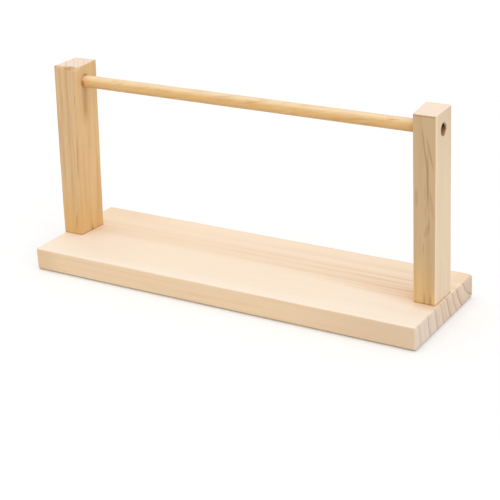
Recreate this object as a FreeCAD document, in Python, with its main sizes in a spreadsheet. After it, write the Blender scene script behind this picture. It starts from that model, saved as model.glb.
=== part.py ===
# Ribbon spool dispenser: a base board, two uprights screwed to it from below, and a loose rod across them.
#
# Lengths are millimetres. The origin is under the middle of the board, +X runs along the board towards the
# upright that the rod draws out through, +Y to the back and +Z up. Each piece is a body of its own, drawn
# about its own origin and set in its place, and every size comes from the sheet.
import FreeCAD, Part
import os
import re
import Sketcher

SIZES = {
    # base board
    "board_long": 340,
    "board_deep": 105,
    "board_thick": 19,
    "board_ease": 1.5,  # radius of its eased edges
    # uprights, square-cut from planed stock
    "upright_wide": 18,  # along the board
    "upright_deep": 28,
    "upright_tall": 145,
    "upright_inset": 2.5,  # from the end of the board to the upright's outer face
    "upright_ease": 0.8,
    # rod, and the holes that it lies in
    "rod_dia": 10,
    "rod_drop": 14,  # its axis below the tops of the uprights
    "rod_stop": 8,  # wood left behind the blind hole, whose floor stops it
    "rod_recess": 8,  # its free end, in from the outer face of the bored upright
    "rod_ease": 0.6,  # chamfer at its ends
    "rod_play": 0.6,  # clearance all round in both holes
    "mouth_ease": 0.3,  # chamfer at the mouths of those holes
    # countersunk wood screws, two up into each upright
    "screw_dia": 4,
    "screw_long": 45,
    "screw_point": 5,  # length of the tapered tip
    "screw_apart": 14,  # between the two screws of an upright
    "screw_play": 0.25,  # clearance all round in the board
    "head_dia": 8,
    "head_rim": 0.3,  # straight edge of the head, above its cone
    "head_sink": 0.7,  # how far the head lies inside the board's underside
    "recess_span": 4.2,  # cross recess in the head
    "recess_slot": 1.1,
    "recess_deep": 1.9,
}

# What follows from those sizes, as formulas in their names.
UPRIGHT_X = "(board_long/2 - upright_inset - upright_wide/2)"
ROD_LEFT = "(-board_long/2 + upright_inset + rod_stop)"
ROD_RIGHT = "(board_long/2 - upright_inset - rod_recess)"
ROD_RISE = "(upright_tall - rod_drop)"  # of its axis above the board's top
ROD_HOLE = "(rod_dia + 2*rod_play)"
SCREW_HOLE = "(screw_dia + 2*screw_play)"
SCREW_REACH = "(screw_long + head_sink - board_thick)"  # of a screw's tip into its upright
CONE_TALL = "(head_dia/2 - screw_dia/2)"  # of a head's 90 degree cone
SINK_DIA = "(head_dia + 2*head_rim + 2*head_sink)"  # of that cone where it meets the board's underside
NEAR = 0.001  # places and volumes that differ by less are the same

doc = FreeCAD.newDocument("ribbon_spool_dispenser")
sheet = doc.addObject("Spreadsheet::Sheet", "sizes")
for row, (alias, size) in enumerate(SIZES.items(), start=1):
    sheet.set(f"A{row}", alias)
    sheet.set(f"B{row}", str(size))
    sheet.setAlias(f"B{row}", alias)
doc.recompute()


def in_sheet(formula):
    """The formula as an expression, which names the sheet before each size."""
    return re.sub(r"[a-z]+_[a-z]+", r"sizes.\g<0>", formula)


def number(formula):
    """What a formula comes to."""
    return float(sheet.evalExpression(in_sheet(formula)))


def new_sketch(body, name, role, lift="0"):
    """A sketch on one of the body's own origin planes, moved along that plane's normal by lift."""
    sketch = body.newObject("Sketcher::SketchObject", name)
    plane = next(p for p in body.Origin.OriginFeatures if p.Role == role)
    sketch.AttachmentSupport = [(plane, "")]
    sketch.MapMode = "FlatFace"
    sketch.setExpression("AttachmentOffset.Base.z", in_sheet(lift))
    return sketch


def place_point(sketch, curve, point, across, up):
    """Dimension a curve's point from the sketch's origin, or put it on the axis where it lies on one."""
    for kind, axis, formula in (("DistanceX", -2, across), ("DistanceY", -1, up)):
        if number(formula) == 0:
            sketch.addConstraint(Sketcher.Constraint("PointOnObject", curve, point, axis))
            continue
        index = sketch.addConstraint(
            Sketcher.Constraint(kind, -1, 1, curve, point, number(formula)))
        sketch.setExpression(f"Constraints[{index}]", in_sheet(formula))


def draw_outline(sketch, corners):
    """Draw a closed outline through corners, each an (across, up) pair of formulas."""
    spots = [FreeCAD.Vector(number(across), number(up), 0) for across, up in corners]
    lines = [sketch.addGeometry(Part.LineSegment(a, b), False)
             for a, b in zip(spots, spots[1:] + spots[:1])]
    for line, following in zip(lines, lines[1:] + lines[:1]):
        sketch.addConstraint(Sketcher.Constraint("Coincident", line, 2, following, 1))
    for line, (across, up) in zip(lines, corners):
        place_point(sketch, line, 1, across, up)


def draw_rectangle(sketch, wide, deep):
    """Draw a rectangle about the sketch's origin."""
    draw_outline(sketch, [(f"-{wide}/2", f"-{deep}/2"), (f"{wide}/2", f"-{deep}/2"),
                          (f"{wide}/2", f"{deep}/2"), (f"-{wide}/2", f"{deep}/2")])


def draw_circle(sketch, across, up, diameter):
    centre = FreeCAD.Vector(number(across), number(up), 0)
    upward = FreeCAD.Vector(0, 0, 1)
    ring = sketch.addGeometry(Part.Circle(centre, upward, number(diameter) / 2), False)
    place_point(sketch, ring, 3, across, up)
    index = sketch.addConstraint(Sketcher.Constraint("Diameter", ring, number(diameter)))
    sketch.setExpression(f"Constraints[{index}]", in_sheet(diameter))


def add_feature(body, kind, name, sketch, values, **formulas):
    """Add a feature on a sketch, with plain values and with sizes bound to formulas."""
    feature = body.newObject(kind, name)
    feature.Profile = sketch
    doc.recompute()
    for setting, value in values.items():
        setattr(feature, setting, value)
    for setting, formula in formulas.items():
        feature.setExpression(setting, in_sheet(formula))
    doc.recompute()
    return feature


def add_cut(body, kind, name, sketch, values, **formulas):
    """Add a feature that cuts, and make sure that it meets the solid."""
    before = body.Shape.Volume
    add_feature(body, kind, name, sketch, values, **formulas)
    if body.Shape.Volume > before - NEAR:
        raise RuntimeError(f"{name} cuts nothing from {body.Label}")


def ease_edges(body, kind, name, size, wanted):
    """Round or chamfer the edges of the body that wanted picks."""
    base = body.Tip
    edges = [f"Edge{n}" for n, edge in enumerate(base.Shape.Edges, start=1) if wanted(edge)]
    feature = body.newObject(kind, name)
    feature.Base = (base, edges)
    feature.setExpression("Radius" if kind == "PartDesign::Fillet" else "Size", in_sheet(size))
    doc.recompute()


def is_round(edge):
    return not edge.Degenerated and isinstance(edge.Curve, Part.Circle)


def set_place(body, x, y, z):
    for axis, formula in (("x", x), ("y", y), ("z", z)):
        body.setExpression(f"Placement.Base.{axis}", in_sheet(formula))


def make_board():
    """The base board: eased all round, with countersunk holes for the screws in its underside."""
    body = doc.addObject("PartDesign::Body", "base_board")
    plan = new_sketch(body, "board_plan", "XY_Plane")
    draw_rectangle(plan, "board_long", "board_deep")
    add_feature(body, "PartDesign::Pad", "board", plan, {}, Length="board_thick")
    ease_edges(body, "PartDesign::Fillet", "board_edges", "board_ease", lambda edge: True)
    holes = new_sketch(body, "board_hole_places", "XY_Plane")
    for end in ("-", ""):
        for side in ("-", ""):
            draw_circle(holes, f"{end}{UPRIGHT_X}", f"{side}screw_apart/2", SCREW_HOLE)
    add_cut(body, "PartDesign::Hole", "board_holes", holes,
            {"Reversed": True, "DepthType": "ThroughAll", "HoleCutType": "Countersink",
             "HoleCutCustomValues": True, "HoleCutCountersinkAngle": 90},
            Diameter=SCREW_HOLE, HoleCutDiameter=SINK_DIA)
    return body


def make_upright(label, end, hole_kind):
    """An upright, with the rod's hole drilled in from its +X face and two screw holes in its foot."""
    body = doc.addObject("PartDesign::Body", label)
    plan = new_sketch(body, f"{label}_plan", "XY_Plane")
    draw_rectangle(plan, "upright_wide", "upright_deep")
    add_feature(body, "PartDesign::Pad", f"{label}_post", plan, {}, Length="upright_tall")
    ease_edges(body, "PartDesign::Fillet", f"{label}_edges", "upright_ease",
               lambda edge: edge.BoundBox.ZMax > NEAR)
    mouth = new_sketch(body, f"{label}_mouth", "YZ_Plane", "upright_wide/2")
    draw_circle(mouth, "0", ROD_RISE, ROD_HOLE)
    add_cut(body, "PartDesign::Pocket", f"{label}_rod_hole", mouth, {"Type": hole_kind},
            Length="upright_wide - rod_stop")
    face_x = number("upright_wide/2")
    ease_edges(body, "PartDesign::Chamfer", f"{label}_mouth_edges", "mouth_ease",
               lambda edge: is_round(edge) and abs(abs(edge.CenterOfMass.x) - face_x) < NEAR)
    foot = new_sketch(body, f"{label}_foot", "XY_Plane")
    for side in ("-", ""):
        draw_circle(foot, "0", f"{side}screw_apart/2", "screw_dia")
    add_cut(body, "PartDesign::Pocket", f"{label}_screw_holes", foot, {"Reversed": True},
            Length=SCREW_REACH)
    set_place(body, f"{end}{UPRIGHT_X}", "0", "board_thick")
    return body


def make_rod():
    """The rod, from the floor of the blind hole to just inside the bored upright's outer face."""
    body = doc.addObject("PartDesign::Body", "spool_rod")
    section = new_sketch(body, "rod_section", "YZ_Plane")
    draw_circle(section, "0", "0", "rod_dia")
    add_feature(body, "PartDesign::Pad", "rod", section, {}, Length=f"{ROD_RIGHT} - {ROD_LEFT}")
    ease_edges(body, "PartDesign::Chamfer", "rod_ends", "rod_ease", is_round)
    set_place(body, ROD_LEFT, "0", f"board_thick + {ROD_RISE}")
    return body


def make_screw(label, end, side):
    """A countersunk screw that points up, from the top of its head at its own origin."""
    body = doc.addObject("PartDesign::Body", label)
    profile = new_sketch(body, f"{label}_profile", "XZ_Plane")
    draw_outline(profile, [("0", "0"), ("head_dia/2", "0"), ("head_dia/2", "head_rim"),
                           ("screw_dia/2", f"head_rim + {CONE_TALL}"),
                           ("screw_dia/2", "screw_long - screw_point"), ("0", "screw_long")])
    add_feature(body, "PartDesign::Revolution", f"{label}_turned", profile,
                {"ReferenceAxis": (profile, ["V_Axis"]), "Angle": 360})
    arm = [("recess_span/2", "-recess_slot/2"), ("recess_span/2", "recess_slot/2"),
           ("recess_slot/2", "recess_slot/2")]
    corners = []
    for quarter in range(4):
        corners += arm
        arm = [(f"-({up})", across) for across, up in arm]
    cross = new_sketch(body, f"{label}_cross", "XY_Plane")
    draw_outline(cross, corners)
    add_cut(body, "PartDesign::Pocket", f"{label}_recess", cross, {"Reversed": True},
            Length="recess_deep")
    set_place(body, f"{end}{UPRIGHT_X}", f"{side}screw_apart/2", "head_sink")
    return body


pieces = [make_board(), make_upright("left_upright", "-", "Length"),
          make_upright("right_upright", "", "ThroughAll"), make_rod()]
for end_name, end in (("left", "-"), ("right", "")):
    for side_name, side in (("front", "-"), ("rear", "")):
        pieces.append(make_screw(f"{end_name}_{side_name}_screw", end, side))
doc.recompute()

failed = [part.Name for part in doc.Objects if {"Invalid", "Error"} & set(part.State)]
failed += [body.Label for body in pieces if body.Shape.isNull() or not body.Shape.isValid()]
if failed:
    raise RuntimeError(f"these did not come out: {', '.join(failed)}")

os.makedirs("parts", exist_ok=True)
for body in pieces:
    body.Shape.exportStep(f"parts/{body.Label}.step")
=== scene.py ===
import math

import bpy
import numpy as np
from mathutils import Matrix, Vector


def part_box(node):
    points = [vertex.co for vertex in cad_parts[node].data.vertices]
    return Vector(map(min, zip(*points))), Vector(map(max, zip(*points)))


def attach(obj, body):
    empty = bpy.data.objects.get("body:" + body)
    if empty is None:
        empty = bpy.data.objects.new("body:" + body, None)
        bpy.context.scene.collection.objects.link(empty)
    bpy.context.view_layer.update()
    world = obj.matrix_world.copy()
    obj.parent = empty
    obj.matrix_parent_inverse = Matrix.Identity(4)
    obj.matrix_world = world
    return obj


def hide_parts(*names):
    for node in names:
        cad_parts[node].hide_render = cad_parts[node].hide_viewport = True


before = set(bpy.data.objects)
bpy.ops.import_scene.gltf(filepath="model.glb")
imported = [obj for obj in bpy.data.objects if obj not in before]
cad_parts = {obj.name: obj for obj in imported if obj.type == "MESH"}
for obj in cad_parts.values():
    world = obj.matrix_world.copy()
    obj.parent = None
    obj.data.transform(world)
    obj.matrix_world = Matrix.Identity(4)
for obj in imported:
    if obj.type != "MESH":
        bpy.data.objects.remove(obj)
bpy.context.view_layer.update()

# Base board: one flat piece of wide-ringed pine, its grain lengthwise and the heart of the tree just outside
# its rear top edge. It is planed, cut to length and its edges are rounded over and sanded. Four countersunk
# holes come up through it for the screws that hold the uprights.
MM = 0.001
BOARD_EASE = 1.5 * MM
FOOT_EASE = 0.8 * MM  # more is taken off the lower edges
BOARD_RIM = 4.0 * MM  # close grid lines reach this far in from each edge
BOARD_GRID = 4.0 * MM
RIM_LINES = 12  # grid lines in that reach
CORNER_WEAR = 0.9 * MM  # more is rubbed off the right rear corner
CORNER_REACH = 6.0 * MM
FOOT_REACH = 8.0 * MM  # and this far up from the lower edges
SCREW_NAMES = [f"{side}_{row}_screw" for side in ("left", "right") for row in ("front", "rear")]
SCREW_PLACES = [(sum(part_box(name), Vector()) / 2).to_tuple() for name in SCREW_NAMES]
SCREW_HOLE_RADIUS = 2.25 * MM
SINK_RADIUS = 5.0 * MM  # of the countersink where it meets the underside
SINK_BEYOND = 1 * MM  # the drill stands this far out of the board, above and below
TURNED_SIDES = 64
SHARP_BEND = math.radians(32)  # edges that bend by more than this stay sharp


def grid_lines(low, high, rim, spacing):
    """Grid lines from low to high. Within rim of both ends they stand at rim * (1 - cos) of even angles, so
    they crowd towards the edge, and between the rims they are about spacing apart."""
    crowd = rim * (1 - np.cos(np.linspace(0, math.pi / 2, RIM_LINES)))
    middle = np.linspace(low + rim, high - rim, max(2, round((high - low - 2 * rim) / spacing) + 1))
    return np.concatenate([low + crowd[:-1], middle, high - crowd[-2::-1]])


def block(lines):
    """The skin of a block as points and four-sided faces. lines holds its grid lines along x, y and z. Each
    of the six sides is the grid of two of them at an end of the third, and shared points are merged."""
    counts = [len(line) for line in lines]
    sides = []
    for axis in range(3):
        second, third = (axis + 1) % 3, (axis + 2) % 3
        for end in (0, counts[axis] - 1):
            b, c = np.meshgrid(np.arange(counts[second]), np.arange(counts[third]), indexing="ij")
            place = [None] * 3
            place[axis], place[second], place[third] = np.full_like(b, end), b, c
            key = np.ravel_multi_index(place, counts)
            ring = [key[:-1, :-1], key[1:, :-1], key[1:, 1:], key[:-1, 1:]]
            quads = np.stack(ring if end else ring[::-1], axis=-1)
            sides.append(quads.reshape(-1, 4))
    keys, faces = np.unique(np.concatenate(sides), return_inverse=True)
    places = np.unravel_index(keys, counts)
    points = np.stack([line[place] for line, place in zip(lines, places)], axis=-1)
    return points, faces.reshape(-1, 4)


def ease(points, low, high, radius):
    """Rounds a block's edges and corners. Each point is drawn to the distance radius from the nearest point
    of the block that is smaller by radius all round, and radius may differ from point to point."""
    radius = np.broadcast_to(radius, len(points))[:, None]
    core = np.clip(points, np.asarray(low) + radius, np.asarray(high) - radius)
    away = points - core
    length = np.linalg.norm(away, axis=1, keepdims=True)
    return core + away * radius / np.maximum(length, 1e-9)


def wander(along, longest, seed):
    """A smooth random line over along, within about -1 to 1: half the sum of five sine waves with random
    phases. The first is as long as longest, and each next one is 0.57 times as long and 0.6 times as high."""
    draw = np.random.default_rng(seed)
    waves = [0.6**n * np.sin(2 * math.pi * (along / (longest * 0.57**n) + draw.random())) for n in range(5)]
    return sum(waves) / 2


def turned(profile, centre, axis):
    """A solid turned about the line through centre along axis (0, 1 or 2). profile holds (distance along the
    line, radius) pairs; its first and last radius are 0 and make one point each."""
    along, radius = np.asarray(profile, float).T
    angle = np.linspace(0, 2 * math.pi, TURNED_SIDES, endpoint=False)
    rings = np.zeros((len(along) - 2, TURNED_SIDES, 3))
    rings[..., axis] = along[1:-1, None]
    rings[..., (axis + 1) % 3] = radius[1:-1, None] * np.cos(angle)
    rings[..., (axis + 2) % 3] = radius[1:-1, None] * np.sin(angle)
    poles = np.zeros((2, 3))
    poles[:, axis] = along[[0, -1]]
    points = np.concatenate([rings.reshape(-1, 3), poles]) + np.asarray(centre)
    index = np.arange(rings.shape[0] * TURNED_SIDES).reshape(-1, TURNED_SIDES)
    following = np.roll(index, -1, axis=1)
    walls = np.stack([index[:-1], following[:-1], following[1:], index[1:]], axis=-1).reshape(-1, 4)
    first = [(index.size, b, a) for a, b in zip(index[0], following[0])]
    last = [(index.size + 1, a, b) for a, b in zip(index[-1], following[-1])]
    return points, walls.tolist() + first + last


def add_piece(name, points, faces, finish=None):
    """Puts points and faces into a new object at the origin, smooth all over."""
    mesh = bpy.data.meshes.new(name)
    mesh.from_pydata(np.asarray(points).tolist(), [], np.asarray(faces, dtype=object).tolist())
    mesh.shade_smooth()
    if finish:
        mesh.materials.append(finish.material)
    piece = bpy.data.objects.new(name, mesh)
    bpy.context.scene.collection.objects.link(piece)
    return piece


def drill(piece, cutters):
    """Takes turned solids out of a piece for good, and keeps the rims that they leave sharp."""
    tools = [add_piece(f"drill_{n}", *cutter) for n, cutter in enumerate(cutters)]
    for tool in tools:
        cut = piece.modifiers.new(tool.name, "BOOLEAN")
        cut.operation = "DIFFERENCE"
        cut.solver = "EXACT"
        cut.object = tool
    bpy.context.view_layer.update()
    drilled = bpy.data.meshes.new_from_object(piece.evaluated_get(bpy.context.evaluated_depsgraph_get()))
    piece.modifiers.clear()
    piece.data = drilled
    drilled.set_sharp_from_angle(angle=SHARP_BEND)
    for tool in tools:
        bpy.data.objects.remove(tool)


NOISE_STRETCH = 2.6
OBJECT_FACING, OBJECT_PLACE = 1, 3  # the Texture Coordinate outputs for a point's normal and its place


class Value:
    """One output of a node. Python's operators on it add Math nodes."""

    def __init__(self, finish, socket):
        self.finish = finish
        self.socket = socket

    def maths(self, operation, *terms):
        return self.finish.node("ShaderNodeMath", {"operation": operation}, dict(enumerate(terms)))[0]

    def __add__(self, other):
        return self.maths("ADD", self, other)

    def __radd__(self, other):
        return self.maths("ADD", other, self)

    def __sub__(self, other):
        return self.maths("SUBTRACT", self, other)

    def __rsub__(self, other):
        return self.maths("SUBTRACT", other, self)

    def __mul__(self, other):
        return self.maths("MULTIPLY", self, other)

    def __rmul__(self, other):
        return self.maths("MULTIPLY", other, self)

    def __truediv__(self, other):
        return self.maths("DIVIDE", self, other)

    def __pow__(self, other):
        return self.maths("POWER", self, other)

    def __abs__(self):
        return self.maths("ABSOLUTE", self)

    def part(self):
        """What is left over the whole number below."""
        return self.maths("FRACT", self)

    def whole(self):
        """The whole number below."""
        return self.maths("FLOOR", self)

    def rise(self, low, high):
        """0 below low, 1 above high and a smooth step between; from 1 to 0 where low is the greater."""
        return self.finish.node(
            "ShaderNodeMapRange",
            {"interpolation_type": "SMOOTHSTEP"},
            {"Value": self, "From Min": low, "From Max": high},
        )[0]


class Finish:
    """A material, or the world, while its nodes are put together."""

    def __init__(self, name, tree=None):
        if tree is None:
            self.material = bpy.data.materials.new(name)
            self.material.use_nodes = True
            tree = self.material.node_tree
        self.tree = tree
        tree.nodes.clear()

    def node(self, kind, settings, sockets):
        """Adds a node: its settings first, with "stops" or "steps" for a ramp's places and grey levels, then
        its sockets' values or links. Gives back its outputs."""
        made = self.tree.nodes.new(kind)
        for name, setting in settings.items():
            if name in ("stops", "steps"):
                ramp = made.color_ramp.elements
                made.color_ramp.interpolation = "LINEAR" if name == "stops" else "CONSTANT"
                while len(ramp) < len(setting):
                    ramp.new(1.0)
                for stop, (place, level) in zip(ramp, setting):
                    stop.position = place
                    stop.color = (level, level, level, 1.0)
            else:
                setattr(made, name, setting)
        for name, value in sockets.items():
            if isinstance(value, Value):
                self.tree.links.new(value.socket, made.inputs[name])
            else:
                made.inputs[name].default_value = value
        return [Value(self, socket) for socket in made.outputs]

    def mix(self, factor, first, second):
        """The first colour where factor is 0, the second where it is 1, and a mixture between. Of the node's
        sockets of one name, 6 and 7 take the colours, and output 2 gives the mixture."""
        settings = {"data_type": "RGBA", "clamp_factor": True}
        return self.node("ShaderNodeMix", settings, {0: factor, 6: first, 7: second})[2]

    def scale(self, colour, factor):
        """A colour made lighter or darker."""
        return self.node("ShaderNodeVectorMath", {"operation": "SCALE"}, {0: colour, "Scale": factor})[0]

    def noise(self, along, across, up, seed, detail=2.0):
        """Noise about 0, within about -1 to 1, at the place (along, across, up) in its own grains. The node's
        own output keeps near 0.5, so what it lies off that is stretched."""
        place = self.node("ShaderNodeCombineXYZ", {}, {0: along, 1: across, 2: up})[0]
        made = self.node(
            "ShaderNodeTexNoise",
            {"noise_dimensions": "4D"},
            {"Vector": place, "W": float(seed), "Scale": 1.0, "Detail": detail},
        )[0]
        return (made - 0.5) * NOISE_STRETCH

    def shine(self, colour, roughness, height, depth, **constants):
        """The surface: colour and roughness on a Principled shader, height in a Bump node depth metres deep,
        and constants for its other sockets."""
        bump = self.node("ShaderNodeBump", {}, {"Strength": 1.0, "Distance": depth, "Height": height})[0]
        sockets = {"Base Color": colour, "Roughness": roughness, "Normal": bump}
        sockets.update({name.replace("_", " "): value for name, value in constants.items()})
        shader = self.node("ShaderNodeBsdfPrincipled", {}, sockets)[0]
        self.node("ShaderNodeOutputMaterial", {}, {"Surface": shader})


def srgb(red, green, blue):
    """A colour given as 0 to 255 screen values, made linear."""
    screen = np.array([red, green, blue]) / 255
    linear = np.where(screen > 0.04045, ((screen + 0.055) / 1.055) ** 2.4, screen / 12.92)
    return (*linear.tolist(), 1.0)


class Timber(Finish):
    """Wood as a solid, so that rings and fibres go round its corners as they do in a real piece. grain is the
    axis along the fibres. heart is where the tree's middle crosses the two other axes, and lean is how far
    it drifts off per metre of grain. rings holds each ring's outer radius in millimetres and how dark its
    edge is, and wave is how far the rings swerve, in millimetres. A ring is pale inside, then its band
    darkens outwards, to end in a thin hard line."""

    def __init__(self, name, grain, heart, lean, rings, wave, seed):
        super().__init__(name)
        coordinates = self.node("ShaderNodeTexCoord", {}, {})
        self.place = self.node("ShaderNodeSeparateXYZ", {}, {0: coordinates[OBJECT_PLACE]})
        self.facing = self.node("ShaderNodeSeparateXYZ", {}, {0: coordinates[OBJECT_FACING]})
        self.along = self.place[grain]
        self.one, self.two = [self.place[n] for n in range(3) if n != grain]
        self.end = abs(self.facing[grain]).rise(0.2, 0.6)
        self.slow = self.drawn(7, 20, seed)
        self.quick = self.drawn(28, 110, seed + 1)
        aside = self.one - self.along * lean[0] - heart[0]
        above = self.two - self.along * lean[1] - heart[1]
        radius = (aside * aside + above * above) ** 0.5 / MM + (self.slow + self.quick * 0.2) * wave
        first, last, count = rings[0][0], rings[-1][0], len(rings) - 1
        edges = [((edge - first) / (last - first), n / count) for n, (edge, dark) in enumerate(rings)]
        ramp = self.node("ShaderNodeValToRGB", {"stops": edges}, {0: (radius - first) / (last - first)})[0]
        turns = ramp * count
        darks = [(n / count, dark) for n, (edge, dark) in enumerate(rings[1:])]
        part = turns.part()
        strength = self.node("ShaderNodeValToRGB", {"steps": darks}, {0: (turns.whole() + 0.5) / count})[0]
        ended = part.rise(1.0, 0.97) * strength
        self.band = part.rise(0.35, 0.92) * ended
        self.line = part.rise(0.86, 0.95) * ended
        self.fibre = self.drawn(26, 900, seed + 2, 3.0)
        self.strand = self.drawn(9, 240, seed + 3, 3.0)
        self.tint = self.drawn(13, 330, seed + 7)
        self.cloud = self.drawn(12, 40, seed + 4)
        self.fleck = self.drawn(55, 1300, seed + 5, 1.0).rise(0.62, 0.85)
        self.pore = self.drawn(900, 1700, seed + 6)

    def drawn(self, lengthwise, across, seed, detail=2.0):
        """Noise drawn out along the fibres: it has so many grains in a metre lengthwise and across."""
        return self.noise(self.along * lengthwise, self.one * across, self.two * across, seed, detail)

    def planed(self, colour, tone, ridge):
        """A planed and sanded surface in colour times tone. It is dull, its fibres are just raised, and the
        lines of its rings by ridge, and its pores are open where the fibres are cut across."""
        self.shine(
            self.scale(colour, tone),
            0.6 + self.fibre * 0.04,
            self.fibre * 0.5 + self.line * ridge + self.end * self.pore * 0.8,
            0.06 * MM,
            Specular_IOR_Level=0.3,
        )

    def streaks(self, across, marks):
        """Dark lines along the grain, for streaks in the wood and for painted shade laid the same way. Each
        mark holds, in millimetres, where across it lies at its start, how
            far it drifts aside per millimetre, its start and stop along the grain, and its half width, and
            then how dark it is. It comes up over the first third of its length and thins out over the last."""
        total = 0.0
        for place, drift, start, stop, width, dark in marks:
            aside = abs(across - (self.along - start * MM) * drift - place * MM + self.slow * 0.25 * MM)
            reach = (stop - start) * 0.35
            grown = self.along.rise(start * MM, (start + reach) * MM)
            gone = self.along.rise(stop * MM, (stop - reach) * MM)
            total = total + aside.rise(width * MM, width * 0.15 * MM) * grown * gone * dark
        return total


BOARD_PALE = srgb(253, 233, 209)
BOARD_EDGE_PALE = srgb(255, 238, 218)
BOARD_REAR = srgb(252, 229, 201)
BOARD_BAND = srgb(245, 217, 185)
BOARD_STREAK = srgb(222, 184, 148)
BOARD_SIDE = srgb(246, 217, 180)
BOARD_SIDE_WARM = srgb(230, 190, 146)
BOARD_SIDE_GREY = srgb(228, 200, 168)
BOARD_END = srgb(234, 217, 198)
BOARD_END_REAR = srgb(232, 208, 184)
BOARD_END_PINK = srgb(222, 190, 164)
BOARD_END_OLIVE = srgb(198, 182, 158)
BOARD_END_BAND = srgb(206, 178, 152)
BOARD_END_LINE = srgb(144, 114, 92)
# painted shade for the lower edges, where the board meets the floor
BOARD_CONTACT_SHADE = srgb(120, 100, 82)
BOARD_HEART = (62 * MM, 34 * MM)
BOARD_RINGS = [
    (9, 0.3), (19, 0.4), (33.5, 0.6), (45, 0.85), (52.5, 0.7), (62.3, 0.9), (68, 0.4), (72.4, 1.0),
    (83.2, 0.6), (95.7, 0.55), (103, 0.15), (111, 0.4), (120, 0.2), (130, 0.2),
]
TOP_MARKS = [
    (1.0, 0.045, 100, 158, 0.9, 0.45), (14.4, -0.02, 76, 140, 0.9, 0.45), (7.5, 0.0, 96, 150, 0.7, 0.35),
    (12.5, 0.05, -26, 8, 0.7, 0.4), (13.0, -0.02, 40, 78, 0.7, 0.3),
]

board_finish = Timber("board_pine", 0, BOARD_HEART, (0.0, 0.0), BOARD_RINGS, wave=0.8, seed=11)
b = board_finish

# Top: the plain sapwood in front meets the streaked older wood behind along a line that swings forward at the
# right. The figure is weaker towards the left, the front edge and the ends are paler, and painted shade
# darkens the top's rear at both ends, behind the uprights.
swing = b.along.maths("MAXIMUM", b.along, 0.0) / (150 * MM)
behind = b.one + b.slow * 1.5 * MM - 3.5 * MM + swing * swing * 15 * MM
figured = behind.rise(-11 * MM, 5 * MM)
faded = b.along.rise(-60 * MM, 60 * MM) * 0.7 + 0.3
darkest = figured * behind.rise(30 * MM, 8 * MM) * (b.along.rise(40 * MM, 130 * MM) * 0.5 + 0.5)
worn = (b.noise(b.along * 14, b.one * 70, 0.0, 17) * 0.5 + 0.5).rise(0.3, 0.75)
top_streaks = b.noise(b.along * 11, b.one * 520, 0.0, 16, 3.0).rise(0.0, 0.9) * worn
top_edge = b.one.rise(-36 * MM, -50 * MM) + b.along.rise(40 * MM, 150 * MM) * 0.9
top_edge = top_edge + b.along.rise(-100 * MM, -160 * MM) * 0.8
both_ends = b.along.rise(-90 * MM, -150 * MM) * 0.7 + b.along.rise(150 * MM, 168 * MM)
top_ground = b.mix(top_edge, BOARD_PALE, BOARD_EDGE_PALE)
top_ground = b.mix(figured, top_ground, BOARD_REAR)
top_ground = b.mix(darkest, top_ground, BOARD_BAND)
# painted shade on the top's rear at both ends, behind the uprights
top_ground = b.mix(b.one.rise(30 * MM, 46 * MM) * both_ends, top_ground, BOARD_BAND)
top_figure = (b.band * 0.25 + b.line * 0.6 * worn + top_streaks * 0.3) * (figured * 0.8 + 0.2) * faded
board_top = b.mix(top_figure + b.streaks(b.one, TOP_MARKS), top_ground, BOARD_STREAK)

# Long sides and underside: warmer at the left end and greyer at the right, with soft streaks and patches.
side_streaks = b.noise(b.along * 7, 0.0, b.two * 300, 18, 3.0).rise(-0.1, 0.9)
side_patches = b.noise(b.along * 16, 0.0, b.two * 70, 19).rise(0.0, 1.0)
side_ground = b.mix(b.along.rise(60 * MM, 150 * MM) * 0.7, BOARD_SIDE, BOARD_SIDE_GREY)
side_ground = b.mix(b.along.rise(-140 * MM, -166 * MM) * 0.5, side_ground, BOARD_SIDE_WARM)
board_side = b.mix(side_streaks * 0.6 + side_patches * 0.3, side_ground, BOARD_SIDE_WARM)
under_streaks = b.noise(b.along * 9, b.one * 300, 0.0, 14, 3.0).rise(-0.1, 0.9)
board_under = b.mix(b.band * 0.4 + b.line * 0.4 + under_streaks * 0.3, BOARD_SIDE, BOARD_SIDE_WARM)
board_long = b.mix(b.facing[2].rise(0.3, 0.9), board_side, board_top)
board_long = b.mix(b.facing[2].rise(-0.3, -0.9), board_long, board_under)

# Sawn ends: greyer, tinged pink and olive, with every ring's line dark.
end_tint = b.noise(b.along * 5, b.one * 190, b.two * 45, 15)
end_olive = end_tint.rise(-0.1, -0.9) * 0.6 + b.one.rise(30 * MM, 50 * MM) * 0.4
board_cut = b.mix(b.one.rise(-32 * MM, 4 * MM), BOARD_END, BOARD_END_REAR)
board_cut = b.mix(end_tint.rise(0.0, 0.9) * 0.7, board_cut, BOARD_END_PINK)
board_cut = b.mix(end_olive, board_cut, BOARD_END_OLIVE)
board_cut = b.mix(b.band * 0.6, board_cut, BOARD_END_BAND)
board_cut = b.mix(b.line * 0.75, board_cut, BOARD_END_LINE)

# Painted shade on the lowest couple of millimetres of the sides and ends, where the board meets the floor.
board_contact_shade = b.two.rise(2.2 * MM, 1.2 * MM) * b.facing[2].rise(-0.95, -0.6) * 0.6
board_colour = b.mix(board_contact_shade, b.mix(b.end, board_long, board_cut), BOARD_CONTACT_SHADE)
b.planed(board_colour, 1.0 + b.fibre * 0.02 + b.cloud * 0.012 - b.fleck * 0.05 * figured, ridge=1.0)

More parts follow.
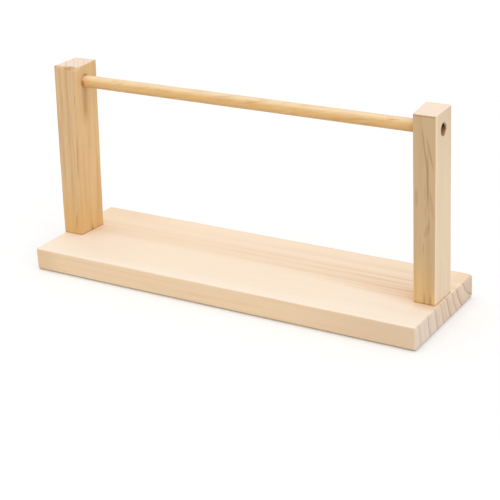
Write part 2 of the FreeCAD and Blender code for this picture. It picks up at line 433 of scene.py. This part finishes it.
board_low, board_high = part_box("base_board")
board_lines = [grid_lines(lo, hi, BOARD_RIM, BOARD_GRID) for lo, hi in zip(board_low, board_high)]
board_points, board_faces = block(board_lines)
x, y, z = board_points.T
corner_gap = np.hypot(x - board_high.x, y - board_high.y) + 0.3 * (board_high.z - z)
board_radius = (
    BOARD_EASE * (1 + 0.14 * wander(x, 110 * MM, 1) + 0.12 * wander(y, 50 * MM, 2))
    + FOOT_EASE * np.clip(1 - z / FOOT_REACH, 0, 1)
    + CORNER_WEAR * np.exp(-((corner_gap / CORNER_REACH) ** 2))
)
board_points = ease(board_points, board_low, board_high, board_radius)
base_board = add_piece("pine_base_board", board_points, board_faces, board_finish)
sink_profile = [
    (-SINK_BEYOND, 0),
    (-SINK_BEYOND, SINK_RADIUS + SINK_BEYOND),
    (SINK_RADIUS - SCREW_HOLE_RADIUS, SCREW_HOLE_RADIUS),
    (board_high.z + SINK_BEYOND, SCREW_HOLE_RADIUS),
    (board_high.z + SINK_BEYOND, 0),
]
drill(base_board, [turned(sink_profile, (across, deep, 0), 2) for across, deep, _ in SCREW_PLACES])
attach(base_board, "stand")
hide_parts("base_board")

# Left upright: a square-cut length of tighter-ringed pine, its grain upright. It was cut and set a little out
# of square, and its top front edge is torn by the saw. A blind hole in its inner face takes the rod's far
# end, and two screws come up into its foot.
HOLE_RADIUS = 5.2 * MM
HOLE_MOUTH = 0.15 * MM
HOLE_RISE = 0.1 * MM  # the holes lie this much higher than the rod, which rests on their lower sides
HOLE_BEYOND = 3.0 * MM  # the drill that cuts them stands this far out of the wood
TOP_DROP = 0.4 * MM  # the tops are cut a little down to the front
UPRIGHT_EASE = 0.8 * MM
UPRIGHT_RIM = 4.5 * MM
UPRIGHT_GRIDS = (0.8 * MM, 1.2 * MM, 3.0 * MM)
FOOT_JOINT_SHADE = (20.6 * MM, 19.4 * MM)  # painted shade in the joint with the board grows from one height to the other
rod_low, rod_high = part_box("spool_rod")
ROD_AXIS = ((rod_low + rod_high) / 2).to_tuple()
left_low, left_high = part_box("left_upright")

# How far the corners stand aside of true, in order front left, front right, back right, back left.
LEFT_FOOT = np.array([(-2.4, 0.4), (-2.5, 0.4), (-1.0, 0.8), (-1.0, 0.2)]) * MM
LEFT_MIDDLE = np.array([(-0.4, 0.0), (-1.8, 0.0), (0.0, 0.0), (0.0, 0.0)]) * MM  # their bow at half height
LEFT_TOP = np.array([(0.2, 1.9), (5.0, 2.0), (3.5, 2.2), (0.9, 1.6)]) * MM
LEFT_AT_ROD = 3.2 * MM  # how far the inner face stands aside of true at the hole
LEFT_HOLE_AHEAD = 0.12 * MM  # the hole was drilled a little to the front of the rod's line
INNER_WEAR = 1.2 * MM  # more is rubbed off the front inner edge
INNER_REACH = 3.0 * MM
TOP_WEAR = 2.6 * MM  # and off the top's front edge
TOP_REACH = 6.0 * MM
TOP_KEPT = 5.0 * MM  # but not near the left corner
LEFT_CHIPS = [
    ((-166.4, -12.6, 165.0), (2.0, 2.0, 2.8)),
    ((-161.5, -15.2, 165.4), (5.0, 4.4, 3.4)),
    ((-154.5, -14.4, 165.2), (6.0, 4.6, 3.6)),
    ((-147.5, -15.0, 165.4), (4.4, 4.2, 3.6)),
    ((-143.6, -12.6, 166.0), (4.0, 3.6, 4.4)),
]


def upright_skin(low, high, radius, foot, middle, top):
    """An upright's points and faces: a block whose edges are eased, all but those round its foot. Its corners
    stand aside by foot and top and bow by middle between them, and each point by the mean of the four,
    weighted by its nearness."""
    lines = [grid_lines(*ends, UPRIGHT_RIM, grid) for *ends, grid in zip(low, high, UPRIGHT_GRIDS)]
    points, faces = block(lines)
    deep_low = np.asarray(low) - (0, 0, 10 * MM)
    points = ease(points, deep_low, high, radius(*points.T))
    across, deep, height = ((points - np.asarray(low)) / (np.asarray(high) - np.asarray(low))).T
    front, left = 1 - deep, 1 - across
    near = np.stack([left * front, across * front, across * deep, left * deep], axis=-1)
    bow = (4 * height * (1 - height))[:, None]
    points[:, :2] += near @ foot * (1 - height)[:, None] + near @ top * height[:, None] + near @ middle * bow
    points[:, 2] -= TOP_DROP * front * np.clip(height * 10 - 9, 0, 1)
    return points, faces


def chip(points, centre, reach):
    """Breaks a scoop out of an edge: the points inside an ellipsoid about centre, reach long each way, move
    out to its skin along the lines from its centre."""
    away = (points - np.asarray(centre)) / np.asarray(reach)
    length = np.linalg.norm(away, axis=1, keepdims=True)
    return np.where(length < 1, centre + away / np.maximum(length, 1e-6) * reach, points)


def bore(floor, mouth, beyond):
    """The profile of a drilled hole, from its floor at x = floor to its mouth at x = mouth, which is eased at
    45 degrees, and on in the air to x = beyond."""
    reach = math.copysign(1, mouth - floor)
    lip = mouth - reach * HOLE_MOUTH
    wide = HOLE_RADIUS + HOLE_MOUTH + abs(beyond - mouth)
    return [(floor, 0), (floor, HOLE_RADIUS), (lip, HOLE_RADIUS), (beyond, wide), (beyond, 0)]


def left_radius(x, y, z):
    """Eased edges. The front inner edge is rubbed rounder from two fifths of the height upwards, and the
    top's front edge all along but for its left end. Both fade away from the edge as a bell curve."""
    height = (z - left_low.z) / (left_high.z - left_low.z)
    upper = np.clip(height * 1.6 - 0.6, 0, 1)
    inner = np.exp(-(((x - left_high.x) / INNER_REACH) ** 2) - ((y - left_low.y) / INNER_REACH) ** 2)
    front = np.exp(-(((z - left_high.z) / TOP_REACH) ** 2) - ((y - left_low.y) / TOP_REACH) ** 2)
    kept = np.clip((x - left_low.x) / TOP_KEPT, 0, 1)
    worn = INNER_WEAR * inner * upper + TOP_WEAR * front * kept
    return UPRIGHT_EASE * (1 + 0.25 * wander(z, 60 * MM, 3)) + worn


left_points, left_faces = upright_skin(left_low, left_high, left_radius, LEFT_FOOT, LEFT_MIDDLE, LEFT_TOP)
for centre, reach in LEFT_CHIPS:
    left_points = chip(left_points, np.multiply(centre, MM), np.multiply(reach, MM))

LEFT_EARLY = srgb(229, 193, 144)
LEFT_LATE = srgb(206, 157, 104)
LEFT_MAUVE = srgb(213, 163, 126)
LEFT_YELLOW = srgb(224, 186, 128)
# painted warm light bounced up from the board, towards the foot
LEFT_BOUNCE_LIGHT = srgb(225, 177, 99)
LEFT_INNER = srgb(230, 193, 140)
LEFT_DARK = srgb(142, 92, 34)
LEFT_END = srgb(245, 223, 203)
LEFT_END_LATE = srgb(220, 180, 150)
BORE_BROWN = srgb(214, 164, 104)
# painted shade deep in the holes
BORE_PAINTED_SHADE = srgb(58, 30, 12)
LEFT_HEART = (-232 * MM, -60 * MM)
LEFT_RINGS = [
    (66, 0.3), (72, 0.5), (77, 0.3), (80.5, 0.45), (86.2, 0.7), (89, 0.3), (92.5, 0.5), (96, 0.25),
    (100.5, 0.45), (103, 0.2), (107.5, 0.5), (112, 0.3), (117, 0.4), (123, 0.3),
]
FRONT_MARKS = [
    (-162.4, 0.1, 129, 142, 0.5, 0.6), (-149.5, 0.1, 130, 143, 0.5, 0.6), (-151.8, 0.06, 62, 114, 1.1, 0.8),
    (-159.4, 0.045, 50, 76, 0.45, 0.4), (-157.6, 0.1, 19, 40, 1.2, 0.5), (-158.6, 0.03, 84, 128, 0.6, 0.3),
]
# The first inner mark is the rod's painted shadow, running down the inner face below the hole; the rest are
# streaks in the grain.
INNER_MARKS_AND_ROD_SHADOW = [
    (-0.2, -0.02, 109, 164, 5.2, 0.85), (8.0, 0.05, 14, 88, 1.3, 0.3), (-11.0, 0.02, 20, 70, 1.0, 0.15),
    (0.6, 0.0, 12, 26, 1.8, 0.9),
]

left_finish = Timber("left_pine", 2, LEFT_HEART, (0.03, 0.01), LEFT_RINGS, wave=0.9, seed=21)
f = left_finish

# Long sides: mauve and yellow tints side by side, more orange towards the foot in painted warm light bounced
# up from the board, with dark marks in the grain, the rod's painted shadow down the inner face and painted
# shade in the joint at the foot.
left_front = f.facing[1].rise(-0.3, -0.8)
left_inner = f.facing[0].rise(0.3, 0.8)
left_ground = f.mix(f.tint.rise(-0.1, 0.7) * 0.6, LEFT_EARLY, LEFT_MAUVE)
left_ground = f.mix(f.tint.rise(-0.1, -0.8) * 0.8, left_ground, LEFT_YELLOW)
left_ground = f.mix(left_inner * 0.7, left_ground, LEFT_INNER)
# painted warm light bounced up from the board, towards the foot
left_ground = f.mix(f.along.rise(75 * MM, 26 * MM) * (0.6 - left_inner * 0.25), left_ground, LEFT_BOUNCE_LIGHT)
left_figure = f.band * 0.35 + f.line * 0.3 + f.strand.rise(-0.2, 0.9) * (0.35 + left_inner * 0.35)
left_long = f.mix(left_figure, left_ground, LEFT_LATE)
left_streaks_and_shade = f.streaks(f.one, FRONT_MARKS) * left_front * 0.6
# the inner marks carry the rod's painted shadow below the hole
left_streaks_and_shade = left_streaks_and_shade + f.streaks(f.two, INNER_MARKS_AND_ROD_SHADOW) * left_inner * 0.5
# painted shade in the joint with the board darkens the foot, along with the grain marks and the rod's painted
# shadow
left_long = f.mix(left_streaks_and_shade + f.along.rise(*FOOT_JOINT_SHADE) * 0.4, left_long, LEFT_DARK)


def ellipsoid_mask(wood, centre, reach):
    """1 in the middle of an ellipsoid about centre, reach long each way in millimetres, and 0 outside it: the
    mask for dark patches and for painted shade.
    """
    away = [(wood.place[n] - centre[n] * MM) / (reach[n] * MM) for n in range(3)]
    gap = (away[0] * away[0] + away[1] * away[1] + away[2] * away[2]) ** 0.5
    return gap.rise(1.0, 0.4)


# Sawn top, and darker patches below its front edge, about the chips.
left_cut = f.mix(f.band * 0.5 + f.line * 0.4, LEFT_END, LEFT_END_LATE)
left_colour = f.mix(f.facing[2].rise(0.9, 0.985), left_long, left_cut)
left_chip_dark = ellipsoid_mask(f, (-153.6, -11.2, 162.2), (6.0, 1.8, 1.3)) * 0.4
left_chip_dark = left_chip_dark + ellipsoid_mask(f, (-151.8, -9.8, 163.4), (5.0, 0.9, 0.6)) * 0.7
left_chip_dark = left_chip_dark + ellipsoid_mask(f, (-166.2, -10.4, 163.0), (1.6, 2.2, 1.4)) * 0.6
left_colour = f.mix(left_chip_dark, left_colour, LEFT_DARK)


def bored(wood, colour, centre, floor, face, start, full):
    """Browns the hole's wall between its floor at x = floor and its mouth at x = face, beginning start to
    full metres in, sooner on the lower side, and paints shade deeper in, darkest above."""
    aside = wood.place[1] - centre[1]
    above = wood.place[2] - centre[2]
    gap = (aside * aside + above * above) ** 0.5
    inside = gap.rise(HOLE_RADIUS + 0.18 * MM, HOLE_RADIUS + 0.06 * MM)
    inside = inside * wood.place[0].rise(floor - 0.5 * MM, floor - 0.1 * MM)
    deep = face - wood.place[0] - above * 0.25
    browned = wood.mix(inside * deep.rise(start, full), colour, BORE_BROWN)
    # painted shade deeper in the hole, darkest on its upper side
    shaded = (above + deep * 0.3).rise(-4.5 * MM, 2.5 * MM) * deep.rise(0.8 * MM, 2.2 * MM)
    return wood.mix(inside * shaded, browned, BORE_PAINTED_SHADE)


left_mouth = left_high.x + LEFT_AT_ROD
left_centre = (0, ROD_AXIS[1] - LEFT_HOLE_AHEAD, ROD_AXIS[2] + HOLE_RISE)
left_colour = bored(f, left_colour, left_centre, rod_low.x, left_mouth, 0.1 * MM, 0.6 * MM)
f.planed(left_colour, 1.0 + f.fibre * 0.035 + f.cloud * 0.025 - f.fleck * 0.06, ridge=0.7)
left_upright = add_piece("pine_left_upright", left_points, left_faces, left_finish)
drill(left_upright, [turned(bore(rod_low.x, left_mouth, left_mouth + HOLE_BEYOND), left_centre, 0)])
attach(left_upright, "stand")
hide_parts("left_upright")

# Right upright: the same stock, bored right through so that the rod draws out. Flat-sawn figure and dark
# resin streaks run down its front, and its outer side is plain pale sapwood.
RIGHT_FOOT = np.array([(0.9, 0.5), (0.0, 0.5), (0.6, 0.2), (0.9, 0.0)]) * MM
RIGHT_MIDDLE = np.zeros((4, 2))  # its sides are straight
RIGHT_TOP = np.array([(0.2, 0.0), (0.0, 0.0), (-0.8, 1.0), (-2.6, 0.8)]) * MM
RIGHT_HOLE_BEHIND = 0.05 * MM
RIGHT_DRILL_DEEP = 5.0 * MM  # each side's drill goes this far past the other face
right_low, right_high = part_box("right_upright")


def right_radius(x, y, z):
    """Eased edges, a little uneven up the height."""
    return UPRIGHT_EASE * (1 + 0.25 * wander(z, 70 * MM, 4))


right_points, right_faces = upright_skin(
    right_low, right_high, right_radius, RIGHT_FOOT, RIGHT_MIDDLE, RIGHT_TOP
)

RIGHT_EARLY = srgb(213, 181, 138)
RIGHT_LATE = srgb(190, 152, 108)
RIGHT_PINK = srgb(206, 166, 130)
# painted warm light bounced up from the board, towards the foot
RIGHT_BOUNCE_LIGHT = srgb(235, 193, 131)
RIGHT_OLIVE = srgb(204, 178, 134)
RIGHT_OUTER = srgb(237, 214, 183)
RIGHT_OUTER_BAND = srgb(224, 192, 160)
RIGHT_OUTER_EDGE = srgb(244, 222, 186)
RIGHT_DARK = srgb(138, 86, 42)
RIGHT_END = srgb(250, 229, 206)
RIGHT_END_LATE = srgb(240, 210, 182)
RIGHT_HEART = (150 * MM, -90 * MM)
RIGHT_RINGS = [
    (60, 0.2), (74, 0.3), (81, 0.4), (86, 0.2), (89, 0.4), (94, 0.3), (98, 0.2), (103, 0.4), (109, 0.3),
]
RESIN_MARKS = [
    (161.6, -0.01, 88, 142, 1.2, 0.75), (161.0, -0.12, 120, 158, 1.0, 0.6),
    (166.2, -0.22, 121, 151, 1.0, 0.6), (159.2, 0.0, 97, 116, 0.6, 0.4), (166.6, -0.14, 82, 113, 1.5, 0.3),
    (152.6, 0.0, 92, 110, 1.5, 0.4), (159.5, 0.0, 86, 98, 0.6, 0.4), (162.6, 0.0, 77, 88, 0.6, 0.58),
    (161.9, 0.0, 73, 83, 0.6, 0.58), (160.7, 0.0, 71, 82, 0.6, 0.5), (159.2, 0.0, 69, 79, 0.6, 0.43),
    (158.1, 0.0, 57, 68, 0.8, 0.4), (159.0, 0.0, 12, 29, 1.0, 0.5), (163.9, 0.0, 12, 29, 1.2, 0.6),
    (155.2, 0.0, 50, 78, 0.6, 0.2),
]

right_finish = Timber("right_pine", 2, RIGHT_HEART, (0.0, 0.0), RIGHT_RINGS, wave=0.9, seed=31)
f = right_finish

# Long sides: pinkish in places, orange towards the foot in painted warm light bounced up from the board, with
# an olive strip down the front's outer edge, the resin streaks and a fine dark line just under the top.
right_front = f.facing[1].rise(-0.3, -0.8)
right_strip = f.one.rise(162.0 * MM, 165.5 * MM) * f.along.rise(100 * MM, 60 * MM)
right_strip = right_strip * f.along.rise(22 * MM, 34 * MM)
top_front_line = f.along.rise(161.4 * MM, 162.0 * MM) * f.along.rise(163.2 * MM, 162.4 * MM)
right_ground = f.mix(f.tint.rise(0.1, 1.0) * 0.8, RIGHT_EARLY, RIGHT_PINK)
# painted warm light bounced up from the board, towards the foot
right_ground = f.mix(f.along.rise(66 * MM, 24 * MM) * 0.8, right_ground, RIGHT_BOUNCE_LIGHT)
right_ground = f.mix(right_strip * 0.7, right_ground, RIGHT_OLIVE)
right_figure = f.band * 0.35 + f.line * 0.25 + f.strand.rise(-0.2, 0.9) * 0.65
right_long = f.mix(right_figure, right_ground, RIGHT_LATE)
right_marks = (f.streaks(f.one, RESIN_MARKS) + top_front_line * 0.5) * right_front * 0.65
right_long = f.mix(right_marks, right_long, RIGHT_DARK)

# Outer side: pale, a little darker towards the top, with its front edge palest.
outer_figure = f.band * 0.5 + f.strand.rise(-0.2, 0.9) * 0.7 + f.along.rise(110 * MM, 160 * MM) * 0.35
right_outer = f.mix(outer_figure, RIGHT_OUTER, RIGHT_OUTER_BAND)
right_outer = f.mix(f.two.rise(-9.5 * MM, -12 * MM) * 0.8, right_outer, RIGHT_OUTER_EDGE)
right_long = f.mix(f.facing[0].rise(0.3, 0.8), right_long, right_outer)
# painted shade in the joint with the board darkens the foot
right_long = f.mix(f.along.rise(*FOOT_JOINT_SHADE) * 0.45, right_long, RIGHT_DARK)

right_cut = f.mix(f.band * 0.4 + f.line * 0.3, RIGHT_END, RIGHT_END_LATE)
right_colour = f.mix(f.end, right_long, right_cut)
right_centre = (0, ROD_AXIS[1] + RIGHT_HOLE_BEHIND, ROD_AXIS[2] + HOLE_RISE)
right_colour = bored(f, right_colour, right_centre, right_low.x, right_high.x, 1.3 * MM, 2.4 * MM)
f.planed(right_colour, 1.0 + f.fibre * 0.035 + f.cloud * 0.02 - f.fleck * 0.05, ridge=0.7)
right_upright = add_piece("pine_right_upright", right_points, right_faces, right_finish)
outer_bore = bore(right_low.x - RIGHT_DRILL_DEEP, right_high.x, right_high.x + HOLE_BEYOND)
inner_bore = bore(right_high.x - RIGHT_DRILL_DEEP, right_low.x, right_low.x - RIGHT_DRILL_DEEP)[::-1]
drill(right_upright, [turned(profile, right_centre, 0) for profile in (outer_bore, inner_bore)])
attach(right_upright, "stand")
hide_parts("right_upright")

# Rod: a smooth bought dowel, yellower than the pine, loose in both holes. It was turned across the figure, so
# its streaks are short, and its ends are cut and lightly chamfered.
ROD_RADIUS = 5.0 * MM
ROD_EASE = 0.6 * MM
ROD_UNEVEN = 0.03 * MM  # it is this much thinner on average, and wanders as much about that
ROD_RINGS_ALONG = 161
ROD_EARLY = srgb(234, 187, 119)
ROD_LATE = srgb(204, 147, 83)
# The next three are painted light: a highlight for the rod's top and its glints, shade for the gap at the
# blind hole's mouth, and shade for its underside.
ROD_HIGHLIGHT = srgb(246, 218, 174)
ROD_GAP_SHADE = srgb(164, 104, 44)
ROD_UNDERSHADE = srgb(207, 165, 106)
ROD_HEART = (12 * MM, 162 * MM)
ROD_RINGS = [(2, 0.3), (6, 0.5), (9, 0.4), (12, 0.6), (15, 0.4), (18, 0.5), (21, 0.4)]

rod_finish = Timber("dowel_wood", 0, ROD_HEART, (0.012, 0.025), ROD_RINGS, wave=0.9, seed=41)
f = rod_finish
rod_slant = f.two - f.along * 0.14
rod_patches = f.noise(f.along * 34, f.one * 230, rod_slant * 260, 47)
rod_dashes = f.noise(f.along * 60, f.one * 420, rod_slant * 620, 48).rise(0.15, 0.85)
rod_glints = f.noise(f.along * 50, f.one * 380, rod_slant * 560, 49).rise(0.05, 0.75)
rod_height = f.two - ROD_AXIS[2]
# Painted highlight along the rod's top, and painted shade along its underside.
rod_ground = f.mix(rod_height.rise(1.0 * MM, 4.6 * MM) * 0.9, ROD_EARLY, ROD_HIGHLIGHT)
rod_ground = f.mix(rod_height.rise(0.5 * MM, -4.0 * MM) * 0.9, rod_ground, ROD_UNDERSHADE)
rod_figure = f.band * 0.2 + rod_patches.rise(0.1, -0.8) * 0.75 + rod_dashes * 0.75
rod_colour = f.mix(rod_figure, rod_ground, ROD_LATE)
rod_colour = f.mix(rod_glints * 0.45, rod_colour, ROD_HIGHLIGHT)
# Painted shade on the rod where it runs into the right upright.
rod_colour = f.mix(f.along.rise(140 * MM, 149 * MM) * 0.3, rod_colour, ROD_LATE)
# Painted shade on the rod at the front of the blind hole's mouth, standing in for the dark gap between rod
# and hole.
rod_gap_shade = ellipsoid_mask(f, (-144.7, -4.8, 149.2), (1.1, 2.4, 3.6)) * 0.95
f.shine(
    f.scale(f.mix(rod_gap_shade, rod_colour, ROD_GAP_SHADE), 1.0 + f.fibre * 0.02),
    0.4 + f.fibre * 0.04,
    f.fibre * 0.4 + f.line * 0.3,
    0.04 * MM,
    Specular_IOR_Level=0.55,
)
rod_along = np.linspace(rod_low.x + ROD_EASE, rod_high.x - ROD_EASE, ROD_RINGS_ALONG)
rod_bulge = ROD_RADIUS - ROD_UNEVEN * (1 + wander(rod_along, 90 * MM, 5))
rod_profile = np.concatenate(
    [
        [(rod_low.x, 0), (rod_low.x, ROD_RADIUS - ROD_EASE)],
        np.stack([rod_along, rod_bulge], axis=-1),
        [(rod_high.x, ROD_RADIUS - ROD_EASE), (rod_high.x, 0)],
    ]
)
spool_rod = add_piece("wooden_rod", *turned(rod_profile, (0, ROD_AXIS[1], ROD_AXIS[2]), 0), rod_finish)
spool_rod.data.set_sharp_from_angle(angle=SHARP_BEND)
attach(spool_rod, "rod")
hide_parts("spool_rod")

# Screws: four zinc-plated countersunk wood screws with a cross recess, driven up through the board into the
# uprights' feet. Their heads lie just inside the underside, so they are seen only from below.
ZINC = srgb(196, 194, 186)
ZINC_DULL = srgb(158, 156, 148)
screw_finish = Finish("zinc_plate")
f = screw_finish
screw_coordinates = f.node("ShaderNodeTexCoord", {}, {})
screw_place = f.node("ShaderNodeSeparateXYZ", {}, {0: screw_coordinates[OBJECT_PLACE]})
screw_cloud = f.noise(screw_place[0] * 900, screw_place[1] * 900, screw_place[2] * 900, 51, 3.0)
screw_speck = f.noise(screw_place[0] * 5000, screw_place[1] * 5000, screw_place[2] * 5000, 52, 2.0)
f.shine(
    f.mix(0.5 + screw_cloud * 0.5, ZINC, ZINC_DULL),
    0.36 + screw_cloud * 0.08 + screw_speck * 0.04,
    screw_speck,
    0.01 * MM,
    Metallic=1.0,
)
for name in SCREW_NAMES:
    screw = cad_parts[name]
    screw.data.materials.clear()
    screw.data.materials.append(screw_finish.material)

# Floor: a wide white sheet under the stand. It shows the stand's soft shadow, and looks plain white to the
# camera wherever no shadow falls.
FLOOR_HALF = 6.0  # metres, of its width
FLOOR_WHITE = (0.8, 0.8, 0.8, 1.0)  # as the light on the stand finds it
FLOOR_SEEN = (0.75, 0.75, 0.75, 1.0)  # as the camera sees it, with a little glow on top
FLOOR_GLOW = 0.27
WHITE = (1.0, 1.0, 1.0, 1.0)
CAMERA_RAY, GLOSSY_RAY, TRANSMISSION_RAY = 0, 3, 6  # the Light Path outputs
floor_finish = Finish("floor_sheet")
f = floor_finish


def seen_rays(finish):
    """1 for what the camera sees, also by way of metal or glass, and 0 for light that falls on the stand."""
    rays = finish.node("ShaderNodeLightPath", {}, {})
    straight, mirrored, through = rays[CAMERA_RAY], rays[GLOSSY_RAY], rays[TRANSMISSION_RAY]
    return straight.maths("MAXIMUM", straight.maths("MAXIMUM", straight, mirrored), through)


plain = f.node("ShaderNodeBsdfDiffuse", {}, {"Color": FLOOR_WHITE})[0]
bright = f.node("ShaderNodeBsdfDiffuse", {}, {"Color": FLOOR_SEEN})[0]
glow = f.node("ShaderNodeEmission", {}, {"Color": WHITE, "Strength": FLOOR_GLOW})[0]
lifted = f.node("ShaderNodeAddShader", {}, {0: bright, 1: glow})[0]
sheet = f.node("ShaderNodeMixShader", {}, {0: seen_rays(f), 1: plain, 2: lifted})[0]
f.node("ShaderNodeOutputMaterial", {}, {"Surface": sheet})
floor_corners = [(x * FLOOR_HALF, y * FLOOR_HALF, 0) for x, y in ((-1, -1), (1, -1), (1, 1), (-1, 1))]
floor = add_piece("floor", floor_corners, [(0, 1, 2, 3)], floor_finish)

# Light: an even pale room, a very wide soft lamp almost overhead, and one as wide low on the right front. The
# camera sees the room as plain white.
ROOM_LIGHT = 0.67
world = bpy.data.worlds.new("room")
bpy.context.scene.world = world
world.use_nodes = True
f = Finish("room", world.node_tree)
room = f.node("ShaderNodeBackground", {}, {"Color": WHITE, "Strength": ROOM_LIGHT})[0]
white = f.node("ShaderNodeBackground", {}, {"Color": WHITE, "Strength": 1.0})[0]
sky = f.node("ShaderNodeMixShader", {}, {0: seen_rays(f), 1: room, 2: white})[0]
f.node("ShaderNodeOutputWorld", {}, {"Surface": sky})


def soft_lamp(name, light_from, strength, width):
    """A far lamp that shines from the direction light_from and fills width degrees of sky. It adds strength
    to the brightness of a white sheet that faces it."""
    light = bpy.data.lights.new(name, "SUN")
    light.energy = strength * math.pi
    light.angle = math.radians(width)
    lamp = bpy.data.objects.new(name, light)
    lamp.rotation_euler = Vector(light_from).to_track_quat("Z", "Y").to_euler()
    bpy.context.scene.collection.objects.link(lamp)


soft_lamp("high_lamp", (-0.1, 0.05, 1.0), strength=0.27, width=60.0)
soft_lamp("low_lamp", (0.9, -0.65, 0.35), strength=0.24, width=60.0)

# Camera: from the right front and a little above, through a long lens. Its view is shifted down, so that the
# stand is high in the picture, and it is turned, dipped and rolled by these angles in radians.
VIEW_PLACE = (0.53953, -0.87109, 0.45732)
VIEW_TURN = -0.5495
VIEW_DIP = 0.3543
VIEW_ROLL = -0.0411
PICTURE_WIDTH = 500  # pixels
VIEW_FOCUS = 1406.17  # the lens's focal length in such pixels
VIEW_SHIFT = 0.12  # of the picture's width
camera_data = bpy.data.cameras.new("camera")
camera_data.sensor_width = 36.0
camera_data.lens = VIEW_FOCUS / PICTURE_WIDTH * camera_data.sensor_width
camera_data.shift_y = -VIEW_SHIFT
camera = bpy.data.objects.new("camera", camera_data)
bpy.context.scene.collection.objects.link(camera)
forward = Vector(
    (math.sin(VIEW_TURN) * math.cos(VIEW_DIP), math.cos(VIEW_TURN) * math.cos(VIEW_DIP), -math.sin(VIEW_DIP))
)
level = Vector((math.cos(VIEW_TURN), -math.sin(VIEW_TURN), 0))
upward = level.cross(forward)
side = level * math.cos(VIEW_ROLL) + upward * math.sin(VIEW_ROLL)
top = upward * math.cos(VIEW_ROLL) - level * math.sin(VIEW_ROLL)
turn = Matrix((side, top, -forward)).transposed().to_4x4()
camera.matrix_world = Matrix.Translation(VIEW_PLACE) @ turn
bpy.context.scene.camera = camera

bpy.context.scene.view_settings.view_transform = "Standard"
